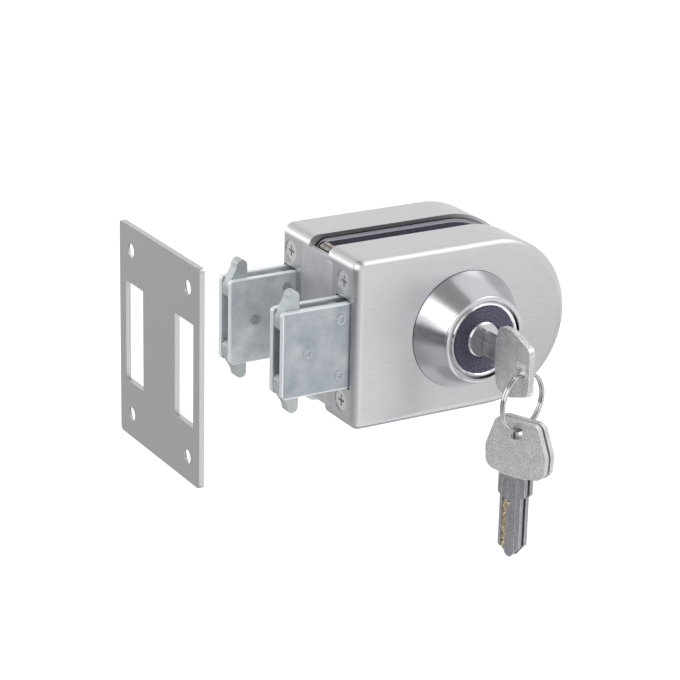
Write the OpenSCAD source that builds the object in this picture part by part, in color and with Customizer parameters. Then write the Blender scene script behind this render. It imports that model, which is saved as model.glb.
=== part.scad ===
// Lock for a frameless glass door: two half casings clamp the glass, and one key
// throws a pair of claw bolts, one on each side of the glass, into a slotted strike.
// Millimetres. +X runs from the bolts to the round end, -Y is the keyed side, +Z is up.
// The origin is on the front pad's glass face, on the lock cylinder's axis.

/* [Case] */
// Height of the case, which is also the width of its round end
case_h = 64; // [63:0.5:68]
// Length from the flat end to the tip of the round end
case_len = 90.5; // [89:0.5:98]
// Distance from the flat end to the lock cylinder's axis
cyl_from_end = 46.2; // [46:0.1:48]
// Depth of the front half, from its face to its rim
front_depth = 20; // [20:0.5:24]
// Depth of the rear half, from its face to its rim
rear_depth = 20.4; // [20:0.4:24]
// Thickness of the covers' sides
wall = 1.2; // [1:0.1:1.3]
// Thickness of the covers' flat end walls
end_wall = 2.5; // [2.4:0.1:2.6]
// Thickness of the covers' faces
face_wall = 1.5; // [1.2:0.1:1.6]
// Radius of the case's two square corners
corner_r = 4; // [3.6:0.1:4.4]
// Radius of the soft edge round the faces
edge_r = 3.2; // [2.6:0.1:3.4]

/* [Glass] */
// Thickness of the glass that the pads clamp
glass_t = 12; // [10:0.5:14]
// Height of the pads' faces above the covers' rims
pad_proud = 0.9; // [0.6:0.1:1.2]
// Thickness of a pad
pad_t = 1.9; // [1.7:0.1:2]
// Thickness of the chassis plates
chassis_t = 2.5; // [2.2:0.1:2.5]
// Half height of the notch that the glass and pads have for the bridge
notch_half = 9; // [8.6:0.1:10]

/* [Bolts] */
// Length of the bolts outside the case when thrown
bolt_out = 26.9; // [25.5:0.1:27.4]
// Height of the bolts
bolt_h = 32; // [31.6:0.1:32.4]
// Thickness of each side plate of a bolt
plate_t = 2.2; // [2:0.1:2.3]
// Room between the side plates
claw_room = 5; // [4.9:0.1:5.2]
// Thickness of a claw
claw_t = 4.6; // [4.4:0.1:4.7]
// Depth of the front bolt's middle behind the front face
front_bolt_in = 8.45; // [8.35:0.05:8.6]
// Depth of the rear bolt's middle behind the rear face
rear_bolt_in = 7; // [6.9:0.1:7.4]
// Clear gap round a bolt in its window
window_gap = 0.7; // [0.5:0.1:0.8]

/* [Edge strip] */
// Thickness of the strip that closes the slot at the flat end
strip_t = 2.5; // [2.2:0.1:2.6]
// Height of the strip
strip_h = 56; // [52:0.5:57]
// Overlap of the strip on the front half
strip_front_lap = 3.8; // [3:0.1:4]
// Overlap of the strip on the rear half
strip_rear_lap = 5.2; // [4:0.1:5.6]

/* [Cylinder] */
// Radius of the cone escutcheon where it meets the case
cone_base_r = 22.3; // [22:0.1:24]
// Radius of the cone's front rim
cone_rim_r = 16; // [15.7:0.1:17]
// Height of the cone
cone_h = 13.25; // [13:0.25:15]
// Radius of the bright ring nut
ring_nut_r = 14.2; // [14:0.1:14.4]
// Radius of the cylinder body
body_r = 12.5; // [12.3:0.1:12.6]
// Radius of the plug
plug_r = 6.7; // [6.6:0.1:6.8]
// Number of pins
pin_count = 5; // [3:1:5]

/* [Gear] */
// Module of the pinion and the rack
gear_module = 0.9; // [0.86:0.01:0.9]
// Number of the pinion's teeth
gear_teeth = 10; // [10:1:10]

/* [Keys] */
// Thickness of a key's bow
key_t = 2.3; // [2.1:0.1:2.4]
// Thickness of a key's neck and blade
blade_t = 1.9; // [1.7:0.1:2]
// Width of a key's blade
blade_w = 8.8; // [8:0.1:8.9]
// Length of a key's blade
blade_len = 23.2; // [22:0.1:23.4]
// Length of a key's neck
neck_len = 7.9; // [6:0.1:8]
// Radius of the key ring, to the middle of its wire
ring_r = 10.5; // [10:0.1:12]

/* [Strike plate] */
// Height of the strike plate
strike_h = 80; // [78:1:90]
// Width of the strike plate
strike_w = 62; // [60:1:70]
// Thickness of the strike plate
strike_t = 2; // [1.5:0.1:3]
// Height of a slot in the strike plate
slot_h = 37.5; // [36:0.5:44]
// Width of a slot in the strike plate
slot_w = 14; // [12:0.5:16]

/* [Hidden] */
$fn = 48;
eps = 0.01;
// Levels along Y: rims and faces of the halves
side = case_h / 2;
end_x = -cyl_from_end;
round_x = end_x + case_len - side;
front_rim = -pad_proud;
front_face = front_rim - front_depth;
rear_rim = glass_t + pad_proud;
rear_face = rear_rim + rear_depth;
front_bolt_y = front_face + front_bolt_in;
rear_bolt_y = rear_face - rear_bolt_in;
// Half thickness of a bolt, and the travel that one turn of the key gives
bolt_half = claw_room / 2 + plate_t;
pitch_r = gear_module * gear_teeth / 2;
travel = 2 * PI * pitch_r;
// Play of sliding pieces, and of pieces that stand side by side
slide_gap = 0.15;
seat_gap = 0.05;
// Clearance of a turning piece in its bore
turn_gap = 0.05;
// Length of a bolt inside the case, and the bridge that joins both bolts
bolt_in = 4.4;
bridge_x = end_x + 4.8;
bridge_w = 5;
bridge_half = 7.5;
bridge_screw_z = 4.6;
notch_x0 = end_x + 4;
notch_x1 = bridge_x + bridge_w + travel + 1.3;
// Guides above and below the sliding plates
guide_gap = 0.15;
guide_w = 2.5;
// Clamp screws and end screws
clamp_x = end_x + 5.8;
clamp_z = 27;
clamp_r = 2;
clamp_head_r = 3.2;
clamp_head_h = 3;
end_screw_z = 22.5;
end_screw_r = 2;
end_head_r = 3.9;
end_sink = 0.35;
end_sink_gap = 0.2;
end_screw_len = 8;
front_end_screw_y = front_face + 9;
rear_end_screw_y = rear_face - 7.2;
tab_t = 3;
// Rivets of the bolts, measured from the case's flat end
pivot_x = end_x - 3.7;
pivot_z = 10.4;
rivet_x = end_x - 16.7;
rivet_r = 1.45;
rivet_head_r = 2;
rivet_head_h = 0.25;
rivet_dimple_r = 1.05;
rivet_dimple_h = 0.35;
root_x0 = end_x + 1.2;
root_rivet_x = end_x + 2.9;
root_rivet_z = 11;
// Rack plate: reach behind the cylinder, and the opening round the pinion
rack_end_x = end_x + 57;
rack_step_x = end_x + 30;
rack_end_half = 12;
tooth_add = gear_module * 5 / 6;
tooth_ded = gear_module * 10 / 9;
pinion_add = gear_module * 8 / 9;
pressure = 25;
backlash = 0.16;
rack_pitch = PI * gear_module;
pinion_out_r = pitch_r + pinion_add;
rack_root_z = pitch_r + tooth_ded;
rack_x0 = -travel - pinion_out_r - 1.5;
rack_x1 = pinion_out_r + 1.5;
// Cylinder: levels along Y
disc_y = front_face - cone_h + 0.65;
disc_t = 1.2;
plug_front = front_face - cone_h + 0.15;
body_end = front_bolt_y + bolt_half - plate_t - slide_gap;
flange_r = 18.5;
flange_t = 2;
bracket_t = 2;
cyl_screw_z = 15.8;
post_x = 10;
post_z = 21;
post_r = 2.4;
tail_r = pitch_r * 2 / 3;
pinion_t = 2.5;
clip_t = 0.8;
web_y = front_face - cone_h + 3.25;
web_t = 1.6;
pin_r = 1.35;
pin_pitch = 4;
pin_first = disc_y + disc_t + 3.2;
blade_z = -1.6;
blade_gap = 0.1;
// Grooves along each face of the blade, in from its middle line, and their depths
wide_groove = [1.5, 3.5];
wide_groove_t = 0.6;
thin_groove = [2.5, 3.3];
thin_groove_t = 0.4;
// Key: bow and neck centres below the blade's middle, and the hole for the ring
bow_drop = 1.2;
neck_drop = 0.2;
bow_len = 21.5;
hole_from_end = 4.8;
hole_len = 4.9;
hole_w = 4.8;
neck_w = 11.2;
// Rounds of a bow's outline: distance from its far end, half width there, radius
bow_rounds = [[3, 9.4, 3], [12.5, 12.5, 7], [16.3, 12.3, 4.2]];
key_y = plug_front - 0.3;
wire_r = 0.55;
wire_apart = 0.53;
ring_turn = 15;
ring_y = key_y - neck_len - bow_len + hole_from_end;
ring_z = blade_z - bow_drop - hole_w / 2 + wire_r + 0.45;
spare_turn = 24;
spare_apart = 3;
spare_hang = hole_len / 2 - wire_r - 0.95;
// Strike plate: place, slots and holes
strike_x = end_x - 63;
strike_y = (front_bolt_y + rear_bolt_y) / 2;
strike_hole_y = strike_w / 2 - 9;
strike_hole_z = strike_h / 2 - 9;
strike_hole_r = 2.5;
strike_sink_r = 4.6;

// Box between two corners, each axis given as [from, to]
module block(x, y, z)
    translate([x[0], y[0], z[0]]) cube([x[1] - x[0], y[1] - y[0], z[1] - z[0]]);

// Round bar along Y at (x, z)
module rod_y(y0, y1, r, x = 0, z = 0)
    translate([x, y0, z]) rotate([-90, 0, 0]) cylinder(h = y1 - y0, r = r);

// Cone along Y at (x, z)
module cone_y(y0, y1, r0, r1, x = 0, z = 0)
    translate([x, y0, z]) rotate([-90, 0, 0]) cylinder(h = y1 - y0, r1 = r0, r2 = r1);

// Round bar along X at (y, z)
module rod_x(x0, x1, r, y = 0, z = 0)
    translate([x0, y, z]) rotate([0, 90, 0]) cylinder(h = x1 - x0, r = r);

// Cone along X at (y, z)
module cone_x(x0, x1, r0, r1, y = 0, z = 0)
    translate([x0, y, z]) rotate([0, 90, 0]) cylinder(h = x1 - x0, r1 = r0, r2 = r1);

// An XZ outline made solid from y0 to y1
module slab_y(y0, y1) translate([0, y1, 0]) rotate([90, 0, 0]) linear_extrude(y1 - y0) children();

// Half of a section with one soft upper corner
module soft_half(r, depth, edge) {
    difference() {
        square([r, depth]);
        translate([r - edge, depth - edge]) difference() {
            square(edge + 1);
            circle(edge);
        }
    }
}

// Case shape lying on its rim: flat at the left, round at the right, soft round its face
module case_block(half, left, depth, corner, edge) {
    translate([left + corner, 0, 0]) rotate([90, 0, 90]) linear_extrude(round_x - left - corner)
        for (m = [0, 1]) mirror([m, 0]) soft_half(half, depth, edge);
    translate([round_x, 0, 0]) rotate([0, 0, -90]) rotate_extrude(angle = 180) soft_half(half, depth, edge);
    translate([left + corner, half - corner, 0]) rotate([90, 0, 0]) linear_extrude(2 * (half - corner))
        mirror([1, 0]) soft_half(corner, depth, edge);
    for (s = [1, -1]) translate([left + corner, s * (half - corner), 0]) rotate([0, 0, s > 0 ? 90 : 180])
        rotate_extrude(angle = 90) soft_half(corner, depth, edge);
}

// Outline of a plate inside the case
module case_outline(half, left, corner) {
    translate([left + corner, -half]) square([round_x - left - corner, 2 * half]);
    translate([left, corner - half]) square([corner, 2 * (half - corner)]);
    for (s = [1, -1]) translate([left + corner, s * (half - corner)]) circle(corner);
    translate([round_x, 0]) circle(half);
}

// Turns a shape that lies on its rim to the front or to the rear half
module to_front() rotate([90, 0, 0]) children();
module to_rear() rotate([-90, 0, 0]) children();

// Hollow shell of one half, lying on its rim
module shell(depth) {
    difference() {
        case_block(side, end_x, depth, corner_r, edge_r);
        translate([0, 0, -1]) case_block(side - wall, end_x + end_wall, depth - face_wall + 1,
            corner_r - wall, edge_r - wall);
    }
}

// Cut for a bolt, the strip's end and the two end screws in a cover's flat wall
module end_wall_cuts(bolt_y, screw_y, strip_y) {
    block([end_x - 1, end_x + end_wall + 1], [bolt_y - bolt_half - window_gap, bolt_y + bolt_half + window_gap],
        [-bolt_h / 2 - window_gap, bolt_h / 2 + window_gap]);
    block([end_x - 1, end_x + end_wall + 1], strip_y, [-strip_h / 2 - seat_gap, strip_h / 2 + seat_gap]);
    for (s = [1, -1]) {
        rod_x(end_x - 1, end_x + end_wall + 1, end_screw_r + 0.1, screw_y, s * end_screw_z);
        rod_x(end_x - 1, end_x + end_sink, end_head_r + end_sink_gap, screw_y, s * end_screw_z);
        cone_x(end_x + end_sink - eps, end_x + end_sink + end_head_r - end_screw_r, end_head_r + eps, end_screw_r,
            screw_y, s * end_screw_z);
    }
}

module front_cover() {
    color("Silver") difference() {
        to_front() translate([0, 0, pad_proud]) shell(front_depth);
        end_wall_cuts(front_bolt_y, front_end_screw_y, [front_rim - strip_front_lap, front_rim + 1]);
        rod_y(front_face - 1, front_face + face_wall + 1, body_r + 0.5);
        for (s = [1, -1]) rod_y(front_face - 1, front_face + face_wall + 1, 1.8, 0, s * cyl_screw_z);
    }
}

module rear_cover() {
    color("Silver") difference() {
        to_rear() translate([0, 0, rear_rim]) shell(rear_depth);
        end_wall_cuts(rear_bolt_y, rear_end_screw_y, [rear_rim - 1, rear_rim + strip_rear_lap]);
    }
}

// Opening that the bridge runs in, through a chassis or a pad
module notch_cut(y0, y1) block([notch_x0, notch_x1], [y0, y1], [-notch_half, notch_half]);

// Plate inside a half, from y0 to y1
module chassis_plate(y0, y1) {
    difference() {
        slab_y(y0, y1) case_outline(side - wall - seat_gap, end_x + end_wall, corner_r - wall - seat_gap);
        notch_cut(y0 - 1, y1 + 1);
        for (s = [1, -1]) rod_y(y0 - 1, y1 + 1, clamp_r + 0.1, clamp_x, s * clamp_z);
    }
}

// Upright tabs that the end screws pull on: from the chassis at y0 to the screw at y1
module end_tabs(y0, y1, screw_y) {
    for (s = [1, -1]) difference() {
        union() {
            block([end_x + end_wall, end_x + end_wall + tab_t], [min(y0, y1), max(y0, y1)],
                [min(s * 17.2, s * 23.3), max(s * 17.2, s * 23.3)]);
            block([end_x + end_wall, end_x + end_wall + tab_t], [screw_y - 3.6, screw_y + 3.6],
                [min(s * 17.2, s * 26.2), max(s * 17.2, s * 26.2)]);
        }
        rod_x(end_x, end_x + end_wall + tab_t + 1, end_screw_r, screw_y, s * end_screw_z);
    }
}

// Guides that the sliding plate runs between
module guides(y0, y1, x0, x1) {
    for (s = [1, -1]) {
        z0 = s * (bolt_h / 2 + guide_gap);
        z1 = s * (bolt_h / 2 + guide_gap + guide_w);
        block([x0, x1], [y0, y1], [min(z0, z1), max(z0, z1)]);
    }
}

module front_chassis() {
    plate_y = front_rim - pad_t + pad_proud - chassis_t;
    guide_y = front_bolt_y + bolt_half - plate_t;
    post_y = front_face + face_wall + bracket_t;
    color("LightSteelBlue") {
        chassis_plate(plate_y, plate_y + chassis_t);
        end_tabs(front_end_screw_y - 3.6, plate_y, front_end_screw_y);
        guides(guide_y, plate_y, end_x + 9.5, end_x + 32);
        for (sx = [1, -1], sz = [1, -1]) difference() {
            rod_y(post_y, plate_y, post_r + 0.8, sx * post_x, sz * (post_z + 1));
            rod_y(post_y - 1, post_y + 8, 1.3, sx * post_x, sz * (post_z + 1));
        }
    }
}

module rear_chassis() {
    plate_y = rear_rim + pad_t - pad_proud;
    guide_y = rear_bolt_y - bolt_half + plate_t;
    color("LightSteelBlue") {
        difference() {
            union() {
                chassis_plate(plate_y, plate_y + chassis_t);
                for (s = [1, -1]) rod_y(plate_y + chassis_t, plate_y + chassis_t + 3, 3.3, clamp_x, s * clamp_z);
            }
            for (s = [1, -1]) rod_y(plate_y - 1, plate_y + chassis_t + 4, clamp_r, clamp_x, s * clamp_z);
        }
        end_tabs(plate_y + chassis_t, rear_end_screw_y + 3.6, rear_end_screw_y);
        guides(plate_y + chassis_t, guide_y, end_x + 9.5, end_x + 32);
    }
}

// Rubber pad lying on its chassis: a full layer with a smaller one on top
module pad() {
    step_t = 0.45;
    difference() {
        union() {
            linear_extrude(pad_t - step_t) case_outline(side - wall - 0.6, end_x + strip_t + 0.3, 4.4);
            translate([0, 0, pad_t - step_t]) linear_extrude(step_t)
                case_outline(side - wall - 1.7, end_x + strip_t + 1.3, 3.6);
        }
        translate([notch_x0, -notch_half, -1]) cube([notch_x1 - notch_x0, 2 * notch_half, pad_t + 2]);
        for (s = [1, -1]) translate([clamp_x, s * clamp_z, -1]) cylinder(h = pad_t + 2, r = clamp_r + 0.3);
    }
}

module front_pad() color("#34343c") translate([0, -pad_t, 0]) to_rear() pad();
module rear_pad() color("#34343c") translate([0, glass_t + pad_t, 0]) to_front() pad();

// Strip that closes the slot at the flat end, with one rounded corner and a raised hem
module edge_strip() {
    y0 = front_rim - strip_front_lap;
    y1 = rear_rim + strip_rear_lap;
    nose_r = 1.5;
    half = strip_h / 2;
    color("Gainsboro") {
        translate([end_x, 0, 0]) rotate([90, 0, 90]) linear_extrude(strip_t) {
            translate([y0, -half]) square([y1 - y0, strip_h - nose_r]);
            translate([y0 + nose_r, -half]) square([y1 - y0 - nose_r, strip_h]);
            translate([y0 + nose_r, half - nose_r]) circle(nose_r);
        }
        block([end_x - 0.15, end_x + 0.1], [y0 + 0.3, y0 + 4], [-half + 0.6, half - nose_r]);
    }
}

// Cross slots in a screw head that faces down
module cross_slots(width, depth) {
    arm = 0.22 * width;
    for (a = [0, 90]) rotate([0, 0, a]) translate([-width / 2, -arm / 2, -1]) cube([width, arm, depth + 1]);
}

// Countersunk screw along +Z with its head's face at 0
module sunk_screw(head_r, r, length) {
    difference() {
        union() {
            cylinder(h = head_r - r, r1 = head_r, r2 = r);
            cylinder(h = length, r = r);
        }
        cross_slots(1.05 * head_r, 0.35 * head_r);
    }
}

// Round-headed screw along +Z with its head below 0
module head_screw(head_r, head_h, r, length) {
    difference() {
        union() {
            translate([0, 0, -head_h]) cylinder(h = head_h, r = head_r);
            cylinder(h = length, r = r);
        }
        translate([0, 0, -head_h]) cross_slots(1.2 * head_r, 1.2);
    }
}

module clamp_screws() {
    seat = front_rim - pad_t + pad_proud - chassis_t;
    tip = rear_rim + pad_t - pad_proud + chassis_t + 3;
    color("#c8ccd0") for (s = [1, -1])
        translate([clamp_x, seat, s * clamp_z]) rotate([-90, 0, 0])
            head_screw(clamp_head_r, clamp_head_h, clamp_r, tip - seat);
}

module end_screws(y) {
    color("#d8dadc") for (s = [1, -1])
        translate([end_x + end_sink, y, s * end_screw_z]) rotate([0, 90, 0])
            sunk_screw(end_head_r, end_screw_r, end_screw_len);
}

module front_end_screws() end_screws(front_end_screw_y);
module rear_end_screws() end_screws(rear_end_screw_y);

// Turned cone with a rolled lip, hollow from the back, and an inner web for the ring nut
module escutcheon() {
    lip = 1.1;
    slope = (cone_base_r - cone_rim_r) / cone_h;
    rim_y = front_face - cone_h;
    color("Silver") difference() {
        union() {
            cone_y(rim_y + lip, front_face, cone_rim_r + slope * lip, cone_base_r);
            rod_y(rim_y, rim_y + lip, cone_rim_r + slope * lip - lip);
            translate([0, rim_y + lip, 0]) rotate([-90, 0, 0]) rotate_extrude()
                translate([cone_rim_r + slope * lip - lip, 0]) circle(lip);
        }
        rod_y(rim_y - 1, web_y, ring_nut_r + 0.5);
        rod_y(web_y - 1, front_face, body_r + 0.1);
        cone_y(web_y + web_t, front_face + eps, cone_rim_r + slope * (web_y + web_t - rim_y) - 1.4, cone_base_r - 1.4);
    }
}

module ring_nut() {
    front = front_face - cone_h + 0.35;
    color("WhiteSmoke") difference() {
        union() {
            rod_y(front + 0.5, web_y, ring_nut_r);
            cone_y(front, front + 0.5, ring_nut_r - 0.5, ring_nut_r);
        }
        rod_y(front - 1, web_y + 1, body_r + seat_gap);
        cone_y(front - eps, front + 0.5, body_r + 0.55, body_r + seat_gap);
    }
}

module face_disc() {
    color("#4d4b5c") difference() {
        rod_y(disc_y, disc_y + disc_t, body_r);
        rod_y(disc_y - 1, disc_y + disc_t + 1, plug_r + 0.15);
    }
}

// Chamber centres along the cylinder
function pin_y(i) = pin_first + i * pin_pitch;

module cylinder_body() {
    color("#b9a56a") difference() {
        union() {
            rod_y(disc_y + disc_t, body_end, body_r);
            rod_y(front_face - flange_t, front_face, flange_r);
        }
        rod_y(disc_y, body_end + 1, plug_r + turn_gap);
        for (i = [0 : pin_count - 1]) translate([0, pin_y(i), 0]) cylinder(h = body_r + 1, r = pin_r + turn_gap);
        for (s = [1, -1]) {
            rod_y(front_face - flange_t - 1, front_face + 1, 1.8, 0, s * cyl_screw_z);
            cone_y(front_face - flange_t - eps, front_face - flange_t + 1.4, 3.1, 1.7, 0, s * cyl_screw_z);
        }
    }
}

module cylinder_screws() {
    color("#c8ccd0") for (s = [1, -1])
        translate([0, front_face - flange_t, s * cyl_screw_z]) rotate([-90, 0, 0])
            sunk_screw(3, 1.6, flange_t + face_wall + bracket_t);
}

// Bracket behind the front face that carries the cylinder on the chassis posts
module cylinder_bracket() {
    y0 = front_face + face_wall;
    color("LightSteelBlue") difference() {
        block([-post_x - 3.4, post_x + 3.4], [y0, y0 + bracket_t], [-post_z - 4.2, post_z + 4.2]);
        rod_y(y0 - 1, y0 + bracket_t + 1, body_r + seat_gap);
        for (s = [1, -1]) rod_y(y0 - 1, y0 + bracket_t + 1, 1.6, 0, s * cyl_screw_z);
        for (sx = [1, -1], sz = [1, -1]) {
            rod_y(y0 - 1, y0 + bracket_t + 1, 1.5, sx * post_x, sz * (post_z + 1));
            cone_y(y0 - eps, y0 + 1.3, 2.7, 1.4, sx * post_x, sz * (post_z + 1));
        }
    }
}

module bracket_screws() {
    color("#c8ccd0") for (sx = [1, -1], sz = [1, -1])
        translate([sx * post_x, front_face + face_wall, sz * (post_z + 1)]) rotate([-90, 0, 0])
            sunk_screw(2.6, 1.3, bracket_t + 6);
}

module driver_pins() {
    color("Goldenrod") for (i = [0 : pin_count - 1])
        translate([0, pin_y(i), plug_r + turn_gap]) cylinder(h = 2.2, r = pin_r);
}

// Compressed coil springs between the drivers and the caps
module pin_springs() {
    spring_h = body_r - 0.8 - plug_r - turn_gap - 2.2;
    color("#b0b4b8") for (i = [0 : pin_count - 1])
        translate([0, pin_y(i), plug_r + turn_gap + 2.2])
            linear_extrude(spring_h, twist = -360 * 3, slices = 24, $fn = 6)
                translate([pin_r - 0.35, 0]) circle(0.3, $fn = 6);
}

module chamber_caps() {
    color("Goldenrod") for (i = [0 : pin_count - 1])
        translate([0, pin_y(i), body_r - 0.8]) cylinder(h = 0.7, r = pin_r + turn_gap);
}

// Ribs that fill the blade's grooves, less a clearance: a wide and a thin one on each side,
// placed so that the key fits both ways up. The first axis is the blade's thickness.
module groove_ribs(gap) {
    for (a = [0, 180]) rotate(a) {
        translate([blade_t / 2 - wide_groove_t + gap, -wide_groove[1] + gap])
            square([wide_groove_t + 1, wide_groove[1] - wide_groove[0] - 2 * gap]);
        translate([blade_t / 2 - thin_groove_t + gap, thin_groove[0] + gap])
            square([thin_groove_t + 1, thin_groove[1] - thin_groove[0] - 2 * gap]);
    }
}

// Keyway section: the blade's bar with a clearance all round, and the ribs left standing
module keyway_section(gap) {
    translate([0, blade_z]) difference() {
        translate([-blade_t / 2 - gap, -blade_w / 2 - gap]) square([blade_t + 2 * gap, blade_w + 2 * gap]);
        groove_ribs(gap);
    }
}

module plug() {
    color("#a9a8a6") difference() {
        union() {
            rod_y(plug_front + 0.6, body_end, plug_r);
            cone_y(plug_front, plug_front + 0.6, plug_r - 0.6, plug_r);
            rod_y(body_end, body_end + slide_gap + pinion_t + clip_t + 1.2, tail_r);
        }
        slab_y(plug_front - 1, key_y + blade_len + 0.3) keyway_section(blade_gap);
        for (i = [0 : pin_count - 1]) translate([0, pin_y(i), 0]) cylinder(h = plug_r + 1, r = pin_r + turn_gap);
    }
}

// Key pins, short enough that their flat tops stay under the plug's surface
module key_pins() {
    tip = blade_z + blade_w / 2 + blade_gap + 0.05;
    top = sqrt(plug_r * plug_r - pin_r * pin_r);
    color("Goldenrod") for (i = [0 : pin_count - 1])
        translate([0, pin_y(i), tip]) cylinder(h = top - tip, r = pin_r);
}

// Involute point at radius r of the pinion, as an angle from the tooth's middle line
base_r = pitch_r * cos(pressure);
function involute(r) = let (a = acos(min(1, base_r / r))) tan(a) * 180 / PI - a;
function flank_angle(r) = 90 / gear_teeth - backlash / 4 / pitch_r * 180 / PI
    + involute(pitch_r) - involute(max(r, base_r));
flank_radii = [for (i = [0 : 5]) base_r + (pinion_out_r - base_r) * i / 5];
root_r = pitch_r - tooth_add - 0.2;

module pinion() {
    y0 = body_end + slide_gap;
    color("#b9a56a") difference() {
        slab_y(y0, y0 + pinion_t) union() {
            circle(root_r);
            for (k = [0 : gear_teeth - 1]) rotate(90 + 360 * k / gear_teeth) polygon(concat(
                [[0, -1.1]],
                [for (r = flank_radii) [r * cos(flank_angle(r)), -r * sin(flank_angle(r))]],
                [for (i = [5 : -1 : 0]) let (r = flank_radii[i]) [r * cos(flank_angle(r)), r * sin(flank_angle(r))]],
                [[0, 1.1]]));
        }
        rod_y(y0 - 1, y0 + pinion_t + 1, tail_r);
    }
}

module tail_clip() {
    y0 = body_end + slide_gap + pinion_t;
    color("#8a8f94") difference() {
        rod_y(y0, y0 + clip_t, tail_r + 1.3);
        rod_y(y0 - 1, y0 + clip_t + 1, tail_r);
        block([-1.2, 1.2], [y0 - 1, y0 + clip_t + 1], [-tail_r - 3, 0]);
    }
}

// Outline of a bolt's side plate: rounded outer corners, square inside the case
module plate_outline(inner_x) {
    r = 1.5;
    half = bolt_h / 2;
    x0 = end_x - bolt_out;
    translate([x0 + r, -half]) square([inner_x - x0 - r, 2 * half]);
    translate([x0, r - half]) square([r, 2 * (half - r)]);
    for (s = [1, -1]) translate([x0 + r, s * (half - r)]) circle(r);
}

// Round holes for the pivots, the middle rivet and the root rivets of a bolt
module bolt_holes(y0, y1) {
    for (s = [1, -1]) {
        rod_y(y0, y1, rivet_r, pivot_x, s * pivot_z);
        rod_y(y0, y1, rivet_r, root_rivet_x, s * root_rivet_z);
    }
    rod_y(y0, y1, rivet_r, rivet_x, 0);
}

// Holes for the two screws that hold a bolt's inner plate on the bridge
module bridge_holes(y0, y1, r) {
    for (s = [1, -1]) rod_y(y0, y1, r, bridge_x + bridge_w / 2, s * bridge_screw_z);
}

module outer_plate(y0) {
    color("#a3abb1") difference() {
        slab_y(y0, y0 + plate_t) plate_outline(end_x + bolt_in);
        bolt_holes(y0 - 1, y0 + plate_t + 1);
    }
}

module front_outer_plate() outer_plate(front_bolt_y - bolt_half);
module rear_outer_plate() outer_plate(rear_bolt_y + bolt_half - plate_t);

// One rack tooth pointing down at x = 0, from the root line to its tip
module rack_tooth() {
    half = rack_pitch / 4 - backlash / 4;
    top = half + tooth_ded * tan(pressure);
    tip = half - tooth_add * tan(pressure);
    polygon([[-top, rack_root_z + 0.5], [-top, rack_root_z], [-tip, pitch_r - tooth_add],
        [tip, pitch_r - tooth_add], [top, rack_root_z], [top, rack_root_z + 0.5]]);
}

// Inner plate of the front bolt, which runs on behind the cylinder as the rack
module front_rack_plate() {
    y0 = front_bolt_y + bolt_half - plate_t;
    first = ceil(rack_x0 / rack_pitch);
    last = floor(rack_x1 / rack_pitch);
    color("#a3abb1") difference() {
        slab_y(y0, y0 + plate_t) {
            difference() {
                union() {
                    plate_outline(rack_step_x);
                    translate([rack_step_x, -rack_end_half]) square([rack_end_x - rack_step_x, 2 * rack_end_half]);
                }
                translate([rack_x0, -pinion_out_r - 0.6])
                    square([rack_x1 - rack_x0, rack_root_z + pinion_out_r + 0.6]);
            }
            for (k = [first : last - 1]) translate([(k + 0.5) * rack_pitch, 0]) rack_tooth();
        }
        bolt_holes(y0 - 1, y0 + plate_t + 1);
        bridge_holes(y0 - 1, y0 + plate_t + 1, 1.5);
        for (s = [1, -1]) cone_y(y0 - eps, y0 + 1.3, 2.8, 1.5, bridge_x + bridge_w / 2, s * bridge_screw_z);
    }
}

module rear_inner_plate() {
    y0 = rear_bolt_y - bolt_half;
    color("#a3abb1") difference() {
        slab_y(y0, y0 + plate_t) plate_outline(end_x + 20);
        bolt_holes(y0 - 1, y0 + plate_t + 1);
        bridge_holes(y0 - 1, y0 + plate_t + 1, 1.5);
        for (s = [1, -1]) cone_y(y0 + plate_t - 1.3, y0 + plate_t + eps, 1.5, 2.8,
            bridge_x + bridge_w / 2, s * bridge_screw_z);
    }
}

// Bar between a bolt's plates at its inner end
module root_spacer(bolt_y) {
    color("#8e959b") difference() {
        block([root_x0, end_x + bolt_in], [bolt_y - claw_room / 2, bolt_y + claw_room / 2],
            [-bolt_h / 2 + 1.5, bolt_h / 2 - 1.5]);
        bolt_holes(bolt_y - claw_room, bolt_y + claw_room);
    }
}

module front_root_spacer() root_spacer(front_bolt_y);
module rear_root_spacer() root_spacer(rear_bolt_y);

// Rivet across a bolt at (x, z), with a dimpled head at both sides
module rivet(bolt_y, x, z, head) {
    difference() {
        union() {
            rod_y(bolt_y - bolt_half, bolt_y + bolt_half, rivet_r, x, z);
            for (s = [1, -1]) rod_y(min(bolt_y + s * bolt_half, bolt_y + s * (bolt_half + head)),
                max(bolt_y + s * bolt_half, bolt_y + s * (bolt_half + head)), rivet_head_r, x, z);
        }
        for (s = [1, -1]) translate([x, bolt_y + s * (bolt_half + head), z]) rotate([90, 0, 0])
            cylinder(h = 2 * rivet_dimple_h, r = rivet_dimple_r, center = true);
    }
}

module claw_pivots(bolt_y) color("#b7bcc0") for (s = [1, -1]) rivet(bolt_y, pivot_x, s * pivot_z, rivet_head_h);
module centre_rivet(bolt_y) color("#b7bcc0") rivet(bolt_y, rivet_x, 0, rivet_head_h);
module root_rivets(bolt_y) {
    color("#b7bcc0") for (s = [1, -1])
        rod_y(bolt_y - bolt_half, bolt_y + bolt_half, rivet_r, root_rivet_x, s * root_rivet_z);
}

module front_claw_pivots() claw_pivots(front_bolt_y);
module rear_claw_pivots() claw_pivots(rear_bolt_y);
module front_centre_rivet() centre_rivet(front_bolt_y);
module rear_centre_rivet() centre_rivet(rear_bolt_y);
module front_root_rivets() root_rivets(front_bolt_y);
module rear_root_rivets() root_rivets(rear_bolt_y);

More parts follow.
